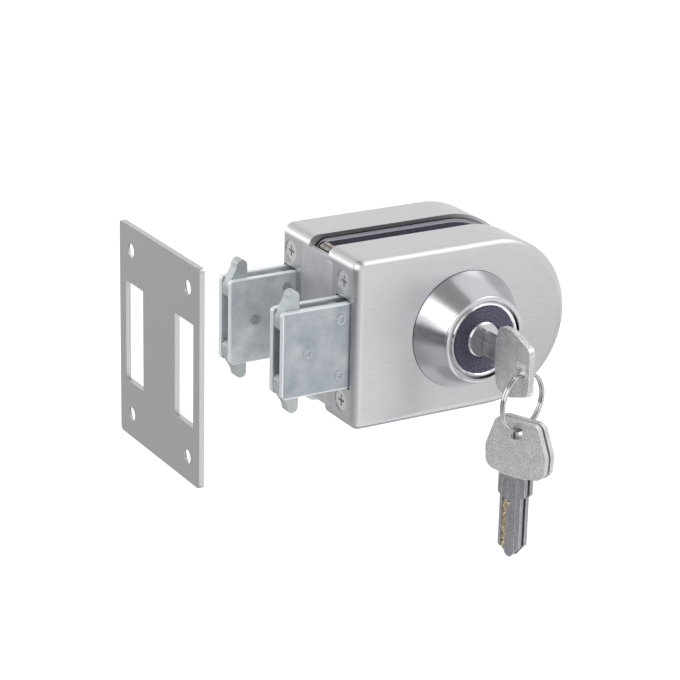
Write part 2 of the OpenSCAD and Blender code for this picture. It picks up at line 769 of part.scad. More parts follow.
// Tube on the middle rivet that keeps the side plates apart
module centre_sleeve(bolt_y) {
    color("#8e959b") difference() {
        rod_y(bolt_y - claw_room / 2, bolt_y + claw_room / 2, 1.8, rivet_x, 0);
        rod_y(bolt_y - claw_room, bolt_y + claw_room, rivet_r, rivet_x, 0);
    }
}

module front_centre_sleeve() centre_sleeve(front_bolt_y);
module rear_centre_sleeve() centre_sleeve(rear_bolt_y);

// Upper claw's outline, x from the case's flat end: an eye at the pivot, a nose and a hook
hook_r = 2.17;
hook_x = -21.12;
hook_z = 20.6;
nose_x = -bolt_out;
function nose(t) = pow(1 - t, 3) * [nose_x, 12] + 3 * pow(1 - t, 2) * t * [nose_x + 0.3, 16]
    + 3 * (1 - t) * t * t * [hook_x - hook_r - 0.3, 18.2] + pow(t, 3) * [hook_x - hook_r, hook_z];
function hook(a) = [hook_x - hook_r * cos(a), hook_z + hook_r * sin(a)];
module claw_outline() {
    polygon(concat([[pivot_x - end_x, 6.3], [-25.6, 8.4], [nose_x, 9.7]],
        [for (i = [0 : 7]) nose(i / 8)],
        [for (i = [0 : 12]) hook(15 * i)],
        [[hook_x + hook_r, 14.6], [pivot_x - end_x, 14.6]]));
}

module upper_claw(bolt_y) {
    y0 = bolt_y - claw_t / 2;
    y1 = bolt_y + claw_t / 2;
    color("#9aa2a8") difference() {
        union() {
            slab_y(y0, y1) translate([end_x, 0]) claw_outline();
            rod_y(y0, y1, 4.6, pivot_x, pivot_z);
        }
        rod_y(y0 - 1, y1 + 1, rivet_r + turn_gap, pivot_x, pivot_z);
    }
}

module lower_claw(bolt_y) mirror([0, 0, 1]) upper_claw(bolt_y);
module front_upper_claw() upper_claw(front_bolt_y);
module front_lower_claw() lower_claw(front_bolt_y);
module rear_upper_claw() upper_claw(rear_bolt_y);
module rear_lower_claw() lower_claw(rear_bolt_y);

// Block through the glass notch that makes both bolts slide as one
module bridge_block() {
    y0 = front_bolt_y + bolt_half;
    y1 = rear_bolt_y - bolt_half;
    color("#8e959b") difference() {
        block([bridge_x, bridge_x + bridge_w], [y0, y1], [-bridge_half, bridge_half]);
        bridge_holes(y0 - 1, y0 + 7, 1.3);
        bridge_holes(y1 - 7, y1 + 1, 1.3);
    }
}

module bridge_screws() {
    x = bridge_x + bridge_w / 2;
    color("#c8ccd0") for (s = [1, -1]) {
        translate([x, front_bolt_y + bolt_half - plate_t, s * bridge_screw_z]) rotate([-90, 0, 0])
            sunk_screw(2.6, 1.3, plate_t + 6);
        translate([x, rear_bolt_y - bolt_half + plate_t, s * bridge_screw_z]) rotate([90, 0, 0])
            sunk_screw(2.6, 1.3, plate_t + 6);
    }
}

// Outline of a key's blade and neck: blade along +X from the neck's shoulder
module blade_outline() {
    half = neck_w / 2;
    polygon([[-eps, -blade_w / 2], [blade_len - 4.4, -blade_w / 2], [blade_len, -1], [blade_len, 0.2],
        [blade_len - 4, blade_w / 2], [-eps, blade_w / 2]]);
    translate([0, -neck_drop]) polygon([[-neck_len - 2, -half], [-1, -half], [0, 1 - half], [0, half - 1],
        [-1, half], [-neck_len - 2, half]]);
}

// Outline of a key's bow: narrow far end, full below the middle, round shoulders at the neck
module bow_outline() {
    x0 = -neck_len;
    x1 = -neck_len - bow_len;
    translate([0, -bow_drop]) hull() {
        for (s = [1, -1], r = bow_rounds) translate([x1 + r[0], s * (r[1] - r[2])]) circle(r[2]);
        translate([x0 - 1.5, 0]) circle(1.5);
    }
}

// Key lying flat: the bow is thicker than the neck and the grooved blade
module flat_key() {
    hole_x = -neck_len - bow_len + hole_from_end;
    difference() {
        union() {
            difference() {
                linear_extrude(blade_t, center = true) blade_outline();
                translate([blade_len + 1, 0, 0]) rotate([0, -90, 0]) linear_extrude(neck_len + blade_len)
                    groove_ribs(0);
            }
            linear_extrude(key_t, center = true) bow_outline();
        }
        translate([hole_x - hole_len / 2, -bow_drop - hole_w / 2, -key_t])
            cube([hole_len, hole_w, 2 * key_t]);
    }
}

// Key standing in its place in the lock: thickness along X, blade along +Y
module key_solid() rotate([90, 0, 90]) flat_key();

module lock_key() color("#a5a29f") translate([0, key_y, blade_z]) key_solid();

// Split ring of two turns, turned a little about the upright axis
module key_ring() {
    color("#c0bfc2") translate([0, ring_y, ring_z]) rotate([0, 0, ring_turn]) translate([0, 0, -ring_r])
        rotate([90, 0, 0]) rotate_extrude() for (s = [1, -1]) translate([ring_r, s * wire_apart]) circle(wire_r);
}

// Spare key near the ring's lowest point, blade down, moved along the wire by its place in the pair
module spare_key(place) {
    hole_x = -neck_len - bow_len + hole_from_end;
    along = place * spare_apart / 2 / cos(spare_turn - ring_turn);
    translate([along * cos(ring_turn), ring_y + along * sin(ring_turn), ring_z - 2 * ring_r - spare_hang])
        rotate([0, 0, spare_turn + 90]) rotate([0, 90, 0]) rotate([90, 0, 0])
            translate([-hole_x, bow_drop, 0]) flat_key();
}

module spare_key_front() color("#a5a29f") spare_key(-1);
module spare_key_rear() color("#a5a29f") spare_key(1);

// Strike plate for the frame or the second door: two slots and four countersunk holes
module strike_plate() {
    r = 1.5;
    color("#a4a5a7") difference() {
        translate([strike_x, strike_y, 0]) rotate([90, 0, 90]) linear_extrude(strike_t) {
            translate([-strike_w / 2, r - strike_h / 2]) square([strike_w, strike_h - 2 * r]);
            translate([r - strike_w / 2, -strike_h / 2]) square([strike_w - 2 * r, strike_h]);
            for (sy = [1, -1], sz = [1, -1])
                translate([sy * (strike_w / 2 - r), sz * (strike_h / 2 - r)]) circle(r);
        }
        for (y = [front_bolt_y, rear_bolt_y])
            block([strike_x - 1, strike_x + strike_t + 1], [y - slot_w / 2, y + slot_w / 2], [-slot_h / 2, slot_h / 2]);
        for (sy = [1, -1], sz = [1, -1]) {
            rod_x(strike_x - 1, strike_x + strike_t + 1, strike_hole_r, strike_y + sy * strike_hole_y,
                sz * strike_hole_z);
            cone_x(strike_x + strike_t - 1.6, strike_x + strike_t + eps, strike_hole_r, strike_sink_r,
                strike_y + sy * strike_hole_y, sz * strike_hole_z);
        }
    }
}

front_cover();
rear_cover();
front_chassis();
rear_chassis();
front_pad();
rear_pad();
edge_strip();
clamp_screws();
front_end_screws();
rear_end_screws();
escutcheon();
ring_nut();
face_disc();
cylinder_body();
cylinder_screws();
cylinder_bracket();
bracket_screws();
driver_pins();
pin_springs();
chamber_caps();
plug();
key_pins();
pinion();
tail_clip();
front_outer_plate();
front_rack_plate();
front_root_spacer();
front_root_rivets();
front_claw_pivots();
front_centre_rivet();
front_centre_sleeve();
front_upper_claw();
front_lower_claw();
rear_outer_plate();
rear_inner_plate();
rear_root_spacer();
rear_root_rivets();
rear_claw_pivots();
rear_centre_rivet();
rear_centre_sleeve();
rear_upper_claw();
rear_lower_claw();
bridge_block();
bridge_screws();
lock_key();
key_ring();
spare_key_front();
spare_key_rear();
strike_plate();
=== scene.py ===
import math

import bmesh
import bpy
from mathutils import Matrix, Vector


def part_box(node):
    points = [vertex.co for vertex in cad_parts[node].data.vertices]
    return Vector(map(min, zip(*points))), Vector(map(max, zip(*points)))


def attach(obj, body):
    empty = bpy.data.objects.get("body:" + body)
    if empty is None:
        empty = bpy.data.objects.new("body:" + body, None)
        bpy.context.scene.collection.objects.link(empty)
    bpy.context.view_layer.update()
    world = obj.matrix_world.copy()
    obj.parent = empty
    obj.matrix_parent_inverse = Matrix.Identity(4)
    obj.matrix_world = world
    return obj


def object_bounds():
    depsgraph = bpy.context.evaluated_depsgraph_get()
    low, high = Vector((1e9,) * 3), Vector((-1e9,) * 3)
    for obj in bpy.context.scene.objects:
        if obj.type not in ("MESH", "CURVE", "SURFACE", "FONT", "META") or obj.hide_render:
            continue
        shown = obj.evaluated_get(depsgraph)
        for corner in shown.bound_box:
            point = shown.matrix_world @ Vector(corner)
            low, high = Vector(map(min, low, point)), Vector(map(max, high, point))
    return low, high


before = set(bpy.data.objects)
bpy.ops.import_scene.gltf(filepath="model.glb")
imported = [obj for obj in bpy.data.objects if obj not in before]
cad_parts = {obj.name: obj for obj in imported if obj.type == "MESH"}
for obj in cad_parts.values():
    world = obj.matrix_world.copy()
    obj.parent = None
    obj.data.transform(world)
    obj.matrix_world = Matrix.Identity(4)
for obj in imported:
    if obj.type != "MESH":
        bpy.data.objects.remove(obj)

# %% [markdown]
# # A lock for a glass door
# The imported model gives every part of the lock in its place, in metres: two cases that clamp the
# glass, two bolts with folding claws, a key in its cylinder, two spare keys on a ring and a strike
# plate. This lesson gives each part its finish, adds the details too fine for the solid model, and
# sets up a small studio around it.

MM = 0.001
cad_box = [list(corner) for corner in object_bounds()]
print("solid model:", [round(high - low, 4) for low, high in zip(*cad_box)], "m")
print(len(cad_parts), "nodes")

# %% [markdown]
# ## The camera
# A product picture is taken from far off with a long lens, so that the case keeps its square look.
# The camera here stands 0.9 m away, a little to the left and above. A lens of 130 mm on a 36 mm
# wide sensor gives the narrow view. Both were chosen: from further off with a longer lens the
# picture would be nearly the same. The small shifts set the optical axis left of and just below
# the middle of the frame.

# %% Camera
AZIMUTH, ELEVATION, ROLL = (math.radians(angle) for angle in (30.31, 20.4, 1.26))
DISTANCE = 0.9
AIM = Vector((-0.0162, 0.0061, 0.0))  # a point in the case, in metres
AIM_RIGHT, AIM_DOWN = 0.02295, -0.01125  # how far it stands right of and below the optical axis
SENSOR_WIDTH, FOCAL_LENGTH = 36.0, 129.96  # in millimetres
SHIFT_X, SHIFT_Y = 0.0218, 0.0056  # in frame widths

forward = Vector((math.sin(AZIMUTH) * math.cos(ELEVATION), math.cos(AZIMUTH) * math.cos(ELEVATION),
                  -math.sin(ELEVATION)))
level = Vector((math.cos(AZIMUTH), -math.sin(AZIMUTH), 0.0))
upward = level.cross(forward)
right = math.cos(ROLL) * level + math.sin(ROLL) * upward
up = math.cos(ROLL) * upward - math.sin(ROLL) * level

lens = bpy.data.cameras.new("camera")
lens.sensor_width = SENSOR_WIDTH
lens.lens = FOCAL_LENGTH
lens.shift_x, lens.shift_y = SHIFT_X, SHIFT_Y
lens.clip_start, lens.clip_end = 0.05, 20.0
camera = bpy.data.objects.new("camera", lens)
stand = AIM - forward * DISTANCE - right * AIM_RIGHT + up * AIM_DOWN
camera.matrix_world = Matrix.Translation(stand) @ Matrix((right, up, -forward)).transposed().to_4x4()
bpy.context.scene.collection.objects.link(camera)
bpy.context.scene.camera = camera
print("camera at", [round(v, 3) for v in camera.location])

# %% [markdown]
# ## Two small tools
# Colours are written as sRGB hex values, as a colour picker shows them, but the shader works in
# linear light, so one function turns one into the other. The second function adds a node with its
# settings, fixed values and links in one line, which keeps each material short enough to read.

# %% Colour and node tools
def linear(hex_colour):
    parts = [int(hex_colour[i:i + 2], 16) / 255 for i in (1, 3, 5)]
    return tuple(p / 12.92 if p <= 0.04045 else ((p + 0.055) / 1.055) ** 2.4 for p in parts) + (1.0,)


def add(tree, kind, values=(), links=(), **settings):
    node = tree.nodes.new(kind)
    for name, value in settings.items():
        setattr(node, name, value)
    for socket, value in dict(values).items():
        node.inputs[socket].default_value = value
    for socket, source in dict(links).items():
        tree.links.new(source, node.inputs[socket])
    return node


print("mid grey is", round(linear("#808080")[0], 3), "in linear light")

# %% [markdown]
# ## Floor and background
# The lock hangs on a glass door, well above the ground, so the floor lies below the longest key.
# It is pale and catches the soft shadow. Rays from the camera and from shiny or clear surfaces
# also see it glow a little. That brings it to white in the picture and in what the metal mirrors,
# and throws no more light on the dull surfaces. The world does the same: white to those rays, a
# softer grey to the rest.

# %% Floor
# The same test serves the floor and the world: 1 for a ray from the camera or from a shiny or clear
# surface, 0 for the rest.
def seen_directly(tree):
    path = add(tree, "ShaderNodeLightPath")
    shiny = add(tree, "ShaderNodeMath", operation="MAXIMUM",
                links={0: path.outputs["Is Camera Ray"], 1: path.outputs["Is Glossy Ray"]})
    return add(tree, "ShaderNodeMath", operation="MAXIMUM",
               links={0: shiny.outputs[0], 1: path.outputs["Is Transmission Ray"]}).outputs[0]


FLOOR_DROP = 0.065  # below the lowest key, in metres
FLOOR_REACH = 4.0
floor_z = cad_box[0][2] - FLOOR_DROP


# A flat card is given by its centre and by two vectors, half its width and half its length.
def card(name, centre, across, along, material):
    mesh = bpy.data.meshes.new(name)
    centre, across, along = Vector(centre), Vector(across), Vector(along)
    mesh.from_pydata([centre - across - along, centre + across - along, centre + across + along,
                      centre - across + along], [], [(0, 1, 2, 3)])
    mesh.materials.append(material)
    plane = bpy.data.objects.new(name, mesh)
    bpy.context.scene.collection.objects.link(plane)
    return plane


paper = bpy.data.materials.new("pale_paper")
paper.use_nodes = True
tree = paper.node_tree
tree.nodes.clear()
matt = add(tree, "ShaderNodeBsdfDiffuse", {"Color": linear("#E8E8E8")})
glow = add(tree, "ShaderNodeEmission", {"Color": (1, 1, 1, 1), "Strength": 0.32})
lifted = add(tree, "ShaderNodeAddShader", links={0: matt.outputs[0], 1: glow.outputs[0]})
either = add(tree, "ShaderNodeMixShader", links={
    0: seen_directly(tree), 1: matt.outputs[0], 2: lifted.outputs[0]})
add(tree, "ShaderNodeOutputMaterial", links={"Surface": either.outputs[0]})
card("floor", (0, 0, floor_z), (FLOOR_REACH, 0, 0), (0, FLOOR_REACH, 0), paper)
print("floor at", round(floor_z, 3), "m")

# %% World
world = bpy.data.worlds.new("studio")
bpy.context.scene.world = world
world.use_nodes = True
tree = world.node_tree
tree.nodes.clear()
dim = add(tree, "ShaderNodeBackground", {"Color": (1, 1, 1, 1), "Strength": 0.85})
white = add(tree, "ShaderNodeBackground", {"Color": (1, 1, 1, 1), "Strength": 1.0})
sky = add(tree, "ShaderNodeMixShader", links={0: seen_directly(tree), 1: dim.outputs[0], 2: white.outputs[0]})
add(tree, "ShaderNodeOutputWorld", links={"Surface": sky.outputs[0]})
bpy.context.scene.view_settings.view_transform = "Standard"
print("world and floor are white to the camera")

# %% [markdown]
# ## Softboxes and flags
# Polished metal has no look of its own: it shows the room. The cone round the cylinder is the best
# gauge. Its left side shows one wide softbox that ends in a dark line at table height, its top shows
# the dark gap between the two boxes. The second box draws the bright line along the case's front
# edge, and a third, low and behind, reaches the faces between the bolts. A photographer makes dark
# gaps with flags, plain cards that only take light away. The flags here are seen by shiny surfaces
# alone: they throw no shadow and the camera never sees them. Each one shows its own even grey.

# %% Softboxes
def softbox(name, direction, distance, width, height, power):
    lamp = bpy.data.lights.new(name, "AREA")
    lamp.shape = "RECTANGLE"
    lamp.size, lamp.size_y = width, height
    lamp.energy = power
    box = bpy.data.objects.new(name, lamp)
    towards = Vector(direction).normalized()
    box.location = towards * distance
    box.rotation_mode = "QUATERNION"
    box.rotation_quaternion = towards.to_track_quat("Z", "Y")
    box.visible_camera = False
    bpy.context.scene.collection.objects.link(box)


# Distances and sizes are in metres, powers in watts.
softbox("left_softbox", (-0.86, -0.12, 0.48), distance=1.2, width=1.5, height=0.88, power=5.4)
softbox("right_softbox", (0.56, -0.36, 0.76), distance=1.25, width=1.05, height=0.5, power=2.9)
softbox("back_softbox", (-0.4, 0.9, 0.08), distance=1.3, width=0.9, height=0.5, power=2.1)
print("three softboxes")

# %% Flags
def flag(name, centre, across, along, grey):
    material = bpy.data.materials.new(name + "_cloth")
    material.use_nodes = True
    tree = material.node_tree
    tree.nodes.clear()
    tone = add(tree, "ShaderNodeEmission", {"Color": (1, 1, 1, 1), "Strength": grey})
    add(tree, "ShaderNodeOutputMaterial", links={"Surface": tone.outputs[0]})
    plane = card(name, centre, across, along, material)
    plane.visible_camera = plane.visible_diffuse = False
    plane.visible_shadow = plane.visible_transmission = False


# Four flags lie just above the floor, and the gap flag lies over the shade, where the two overlap.
LOW, OVER_SHADE = floor_z + 0.004, floor_z + 0.008
FLAGS = (  # name, centre, half width, half length, grey
    ("top_flag", (-0.27, 0.1, 0.75), (0.28, 0, 0), (0, 0.75, 0), 0.38),
    ("table_edge_flag", (-0.95, 0.1, 0.0), (0, 1.1, 0), (0, 0, 0.1), 0.02),
    ("table_gap_flag", (-0.66, -0.12, OVER_SHADE), (0.28, 0, 0), (0, 0.36, 0), 0.05),
    ("table_shade", (-0.8, 0.5, LOW), (0.72, 0, 0), (0, 0.95, 0), 0.62),
    ("under_flag", (0.16, 0.33, LOW), (0.24, 0, 0), (0, 0.36, 0), 0.42),
    ("front_flag", (0.27, -0.22, LOW), (0.13, 0, 0), (0, 0.1, 0), 0.5))
for row in FLAGS:
    flag(*row)
print(len(FLAGS), "flags")

# %% [markdown]
# ## Metal finishes
# Nearly all of this lock is metal, so what tells the parts apart is how each was finished: brushed,
# turned, plated, cast or tumbled. Every finish below starts from the Principled shader with a base
# colour, a roughness and a share of metal. That share is full for most, none for rubber, and less
# than full for the tumbled, cast and peened metals, the groove floor with its painted shade and the
# bolts' zinc-plated steel, whose skin scatters part of the light. Then comes a pattern measured in
# real millimetres that breaks up the roughness or the colour, or lifts the surface a little. The
# patterns are read in object coordinates, which in this file are plain metres, so a millimetre is
# the same on every part.

# %% A bare metal to start from
# Where a pattern drives the colour or the roughness later, the value given here only stands in.
def bare_metal(name, colour, roughness, metallic=1.0):
    material = bpy.data.materials.new(name)
    material.use_nodes = True
    tree = material.node_tree
    tree.nodes.clear()
    shader = add(tree, "ShaderNodeBsdfPrincipled", {"Base Color": linear(colour), "Metallic": metallic,
                                                    "Roughness": roughness})
    add(tree, "ShaderNodeOutputMaterial", links={"Surface": shader.outputs[0]})
    return material, tree, shader


def pattern(tree, size, stretch=(1, 1, 1), detail=3.0):
    place = add(tree, "ShaderNodeTexCoord")
    scale = [1 / (size * MM * along) for along in stretch]
    spread = add(tree, "ShaderNodeMapping", {"Scale": scale}, {"Vector": place.outputs["Object"]})
    return add(tree, "ShaderNodeTexNoise", {"Scale": 1.0, "Detail": detail},
               {"Vector": spread.outputs[0]}).outputs["Fac"]


def relief(tree, shader, heights, depth):
    bump = add(tree, "ShaderNodeBump", {"Distance": depth * MM, "Strength": 1.0}, {"Height": heights})
    tree.links.new(bump.outputs[0], shader.inputs["Normal"])


# A noise stays near its middle, so both functions below stretch the part from 0.3 to 0.7.
def between(tree, factor, low, high):
    return add(tree, "ShaderNodeMapRange", {"From Min": 0.3, "From Max": 0.7, "To Min": low, "To Max": high},
               {"Value": factor}).outputs[0]


def shade(tree, factor, *colours):
    ramp = add(tree, "ShaderNodeValToRGB", links={"Fac": factor})
    stops = ramp.color_ramp.elements
    for i, colour in enumerate(colours):
        stop = stops[i] if i < 2 else stops.new(1.0)
        stop.position = 0.3 + 0.4 * i / (len(colours) - 1)
        stop.color = linear(colour)
    return ramp.outputs[0]


def tint(tree, shader, factor, *colours):
    tree.links.new(shade(tree, factor, *colours), shader.inputs["Base Color"])


# The edges of the keys are painted pale: partly wear from handling, partly a painted highlight.
# A Bevel node rounds the normal near an edge, and where the rounded normal leaves the flat one,
# there is an edge within `reach` millimetres.
def edges_worn_and_highlit(tree, shader, reach, pale, colour):
    rounded = add(tree, "ShaderNodeBevel", {"Radius": reach * MM}, samples=6)
    flat = add(tree, "ShaderNodeNewGeometry")
    agreement = add(tree, "ShaderNodeVectorMath", operation="DOT_PRODUCT",
                    links={0: rounded.outputs[0], 1: flat.outputs["True Normal"]})
    edge = add(tree, "ShaderNodeMapRange", {"From Min": 0.99, "From Max": 0.86},
               {"Value": agreement.outputs["Value"]})
    mixed = add(tree, "ShaderNodeMix", {7: linear(pale)}, {0: edge.outputs[0], 6: colour},
                data_type="RGBA")
    tree.links.new(mixed.outputs[2], shader.inputs["Base Color"])


print("finish tools ready")

# %% Satin nickel on the cases
# Plated zinc alloy, brushed along the case: a soft pearl sheen with faint lines from left to right.
satin_nickel, tree, shader = bare_metal("satin_nickel", "#C8C8CB", 0.36)
lines = pattern(tree, 0.16, (60, 1, 1), 4)
tree.links.new(between(tree, lines, 0.31, 0.41), shader.inputs["Roughness"])
relief(tree, shader, lines, 0.0025)
tint(tree, shader, pattern(tree, 0.22, (40, 1, 1)), "#C2C2C5", "#CECED1")

# Plated metal under the covers, tumbled first: nearly the same colour, with an even, fine grain.
chassis_nickel, tree, shader = bare_metal("chassis_nickel", "#C0C0C4", 0.4, 0.6)
grain = pattern(tree, 0.18)
tree.links.new(between(tree, grain, 0.36, 0.46), shader.inputs["Roughness"])
relief(tree, shader, grain, 0.003)
tint(tree, shader, pattern(tree, 6), "#BBBBC0", "#C7C7CA")
print("case finishes")

# %% Turned metal round the cylinder
# The cone, the ring and the plug are turned on a lathe, so their marks are circles round the axis.
# The distance from the axis, in millimetres, drives a noise of one dimension. The disc is blasted.
def turned(tree, spacing):
    place = add(tree, "ShaderNodeTexCoord")
    flat = add(tree, "ShaderNodeMapping", {"Scale": (1 / MM, 0, 1 / MM)}, {"Vector": place.outputs["Object"]})
    reach = add(tree, "ShaderNodeVectorMath", links={0: flat.outputs[0]}, operation="LENGTH")
    return add(tree, "ShaderNodeTexNoise", {"Scale": 1 / spacing, "Detail": 3.0},
               {"W": reach.outputs["Value"]}, noise_dimensions="1D").outputs["Fac"]


# Bright turned nickel: smooth enough for the softboxes to stand in it as clear sectors.
turned_nickel, tree, shader = bare_metal("turned_nickel", "#C9C9CD", 0.24)
marks = turned(tree, 0.35)
tree.links.new(between(tree, marks, 0.2, 0.24), shader.inputs["Roughness"])
relief(tree, shader, marks, 0.0005)
# A thin dark band of painted shade shows where the cone stands on the cover.
parts = add(tree, "ShaderNodeSeparateXYZ", links={0: add(tree, "ShaderNodeTexCoord").outputs["Object"]})
cover_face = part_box("front_cover")[0].y
gap_shade_mask = add(tree, "ShaderNodeMapRange", {
    "From Min": cover_face - 0.4 * MM, "From Max": cover_face - 0.25 * MM}, {"Value": parts.outputs["Y"]})
edge = add(tree, "ShaderNodeMix", {6: linear("#C9C9CD"), 7: linear("#55555A")}, {0: gap_shade_mask.outputs[0]},
           data_type="RGBA")
tree.links.new(edge.outputs[2], shader.inputs["Base Color"])

# Polished ring: the brightest line on the lock.
polished_ring, tree, shader = bare_metal("polished_ring", "#E4E4E6", 0.12)
relief(tree, shader, turned(tree, 0.3), 0.0008)

# Gunmetal disc: dark violet plating over a blasted face, which gives fine speckles.
gunmetal, tree, shader = bare_metal("gunmetal_plating", "#52525F", 0.42)
specks = pattern(tree, 0.5)
tree.links.new(between(tree, specks, 0.34, 0.5), shader.inputs["Roughness"])
relief(tree, shader, specks, 0.012)
tint(tree, shader, specks, "#3C3C48", "#555563", "#81819A")
print("turned finishes")

# %% Zinc-plated steel and cast zinc on the bolts
# Stamped steel plates with blue-white zinc plating: cool grey with broad faint clouds and a fine
# grain of crystals. The clear film on the zinc scatters much of the light, so these metals are
# half dull or more: without that, a plate that faces its neighbour would turn nearly black. The
# rear bolt stands in the front one's shade, so its plates get a more clouded copy whose paler
# colour is painted light over that shade.
RIM_WIDTH, RIM_FADE = 0.55 * MM, 0.3 * MM


def zinc_plated(name, metallic, *tones):
    material, tree, shader = bare_metal(name, tones[1], 0.42, metallic)
    clouds = pattern(tree, 7, detail=4)
    crystals = pattern(tree, 0.45, detail=2)
    spangle = add(tree, "ShaderNodeMix", {0: 0.4}, {2: clouds, 3: crystals}).outputs[0]
    # The plates' rims at the top, bottom and left are painted paler: a painted highlight along those edges.
    parts = add(tree, "ShaderNodeSeparateXYZ", links={0: add(tree, "ShaderNodeTexCoord").outputs["Object"]})
    plate_low, plate_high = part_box("front_outer_plate")
    rim_z, rim_x = plate_high.z - RIM_WIDTH, plate_low.x + RIM_WIDTH
    height = add(tree, "ShaderNodeMath", links={0: parts.outputs["Z"]}, operation="ABSOLUTE")
    level_rim = add(tree, "ShaderNodeMapRange", {"From Min": rim_z, "From Max": rim_z + RIM_FADE},
                    {"Value": height.outputs[0]})
    upright_rim = add(tree, "ShaderNodeMapRange", {"From Min": rim_x, "From Max": rim_x - RIM_FADE},
                      {"Value": parts.outputs["X"]})
    rim = add(tree, "ShaderNodeMath", operation="MAXIMUM",
              links={0: level_rim.outputs[0], 1: upright_rim.outputs[0]})
    painted_rim_highlight = add(tree, "ShaderNodeMix", {7: linear("#E6EAED")}, {
        0: rim.outputs[0], 6: shade(tree, spangle, *tones)}, data_type="RGBA")
    tree.links.new(painted_rim_highlight.outputs[2], shader.inputs["Base Color"])
    tree.links.new(between(tree, crystals, 0.36, 0.46), shader.inputs["Roughness"])
    relief(tree, shader, crystals, 0.006)
    return material


plated_steel = zinc_plated("zinc_plated_steel", 0.5, "#8E989F", "#A8AEB4", "#C0C4C7")
# The rear plates' paler tones are painted light over the shade of the front bolt.
clouded_steel_with_painted_light = zinc_plated("clouded_zinc_plated_steel_with_painted_light", 0.3, "#ACB5BB", "#CBD1D5", "#ECEFF1")

# Die-cast zinc claws: paler and a touch greener, with the softer skin of a casting.
cast_zinc, tree, shader = bare_metal("cast_zinc", "#B9BFC0", 0.45, 0.55)
skin = pattern(tree, 0.8, detail=5)
tree.links.new(between(tree, skin, 0.4, 0.52), shader.inputs["Roughness"])
relief(tree, shader, skin, 0.012)
tint(tree, shader, pattern(tree, 3), "#B0B7B8", "#BEC3C2")

# Rivets of soft steel, peened over by a spinning tool: it leaves them dented, so that each one
# stands out from its smooth plate.
peened_steel, tree, shader = bare_metal("peened_steel", "#A4A9AF", 0.34, 0.3)
relief(tree, shader, pattern(tree, 0.6), 0.04)
tint(tree, shader, pattern(tree, 0.5), "#8C9298", "#C8CDD2")
print("bolt finishes")

# %% Small bright parts
# Nickel-plated screws: clean, fairly shiny, with the trace of a tumbling drum.
bright_nickel, tree, shader = bare_metal("bright_nickel", "#DCDBDA", 0.3, 0.75)
scuffs = pattern(tree, 0.5)
tree.links.new(between(tree, scuffs, 0.2, 0.34), shader.inputs["Roughness"])
relief(tree, shader, scuffs, 0.004)

# Hard-drawn steel wire of the split ring and the pin springs: smooth, with draw lines too fine to see.
drawn_wire, tree, shader = bare_metal("drawn_wire", "#C4C2C2", 0.18)
relief(tree, shader, pattern(tree, 0.2), 0.001)

# Nickel-plated brass keys: the bow is tumbled with stones, which leaves a pale grey full of tiny
# specks. The neck and blade are ground flat and look darker, with weaker specks. The change lies at
# one place on the key's long axis: `start`, in metres.
def nickel_plated_brass(name, axis, start):
    material, tree, shader = bare_metal(name, "#BDBBBB", 0.34, 0.74)
    place = add(tree, "ShaderNodeTexCoord")
    parts = add(tree, "ShaderNodeSeparateXYZ", links={0: place.outputs["Object"]})
    # The spare keys hang with their tips down, and the lock key's tip points into the lock.
    ground = add(tree, "ShaderNodeMath", {1: start}, {0: parts.outputs[axis]}, operation=(
        "LESS_THAN" if axis == "Z" else "GREATER_THAN")).outputs[0]
    specks = pattern(tree, 0.42, detail=2)
    worn = add(tree, "ShaderNodeMix", {0: 0.2}, {2: specks, 3: pattern(tree, 4.5)}).outputs[0]
    colour = add(tree, "ShaderNodeMix", links={
        0: ground, 6: shade(tree, worn, "#A4A2A2", "#CCCACA", "#F2F0F0"),
        7: shade(tree, worn, "#74747A", "#AEAEB4")}, data_type="RGBA")
    # Pale edges of the key: wear, together with a painted highlight.
    edges_worn_and_highlit(tree, shader, 0.4, "#F6F4F3", colour.outputs[2])
    tree.links.new(between(tree, specks, 0.26, 0.42), shader.inputs["Roughness"])
    relief(tree, shader, specks, 0.02)
    return material


GROUND = 31.1 * MM  # length of blade and neck, from the tip
spare_key_metal = nickel_plated_brass(
    "nickel_plated_brass_spare_keys", "Z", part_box("spare_key_front")[0].z + GROUND)
lock_key_metal = nickel_plated_brass(
    "nickel_plated_brass_lock_key", "Y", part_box("lock_key")[1].y - GROUND)

# Stainless sheet of the strike plate: cold-rolled, an even grey that takes a long soft reflection.
rolled_steel, tree, shader = bare_metal("rolled_steel", "#BCBDBF", 0.3)
rolling = pattern(tree, 0.3, (1, 1, 50))
tree.links.new(between(tree, rolling, 0.26, 0.34), shader.inputs["Roughness"])
relief(tree, shader, rolling, 0.0015)

# Bare brass: the parts in the cylinder, and on the keys the places where a cutter has gone through
# the plating. Its colour runs in small random patches from dark brown to near white: painted dark
# and bright glints.
cut_brass, tree, shader = bare_metal("cut_brass", "#D2B983", 0.2)
relief(tree, shader, pattern(tree, 0.9), 0.08)
tint(tree, shader, pattern(tree, 0.8, detail=2), "#5E4A34", "#D2B983", "#FFFBF0")

# The floor of the groove round a cut is painted a dull brown-grey, darker than the blade: painted shade in
# the groove.
groove_floor_painted_shade, tree, shader = bare_metal("groove_floor_painted_shade", "#7A726C", 0.42, 0.8)
tint(tree, shader, pattern(tree, 1.6), "#6A625C", "#9A9590")
print("small part finishes")

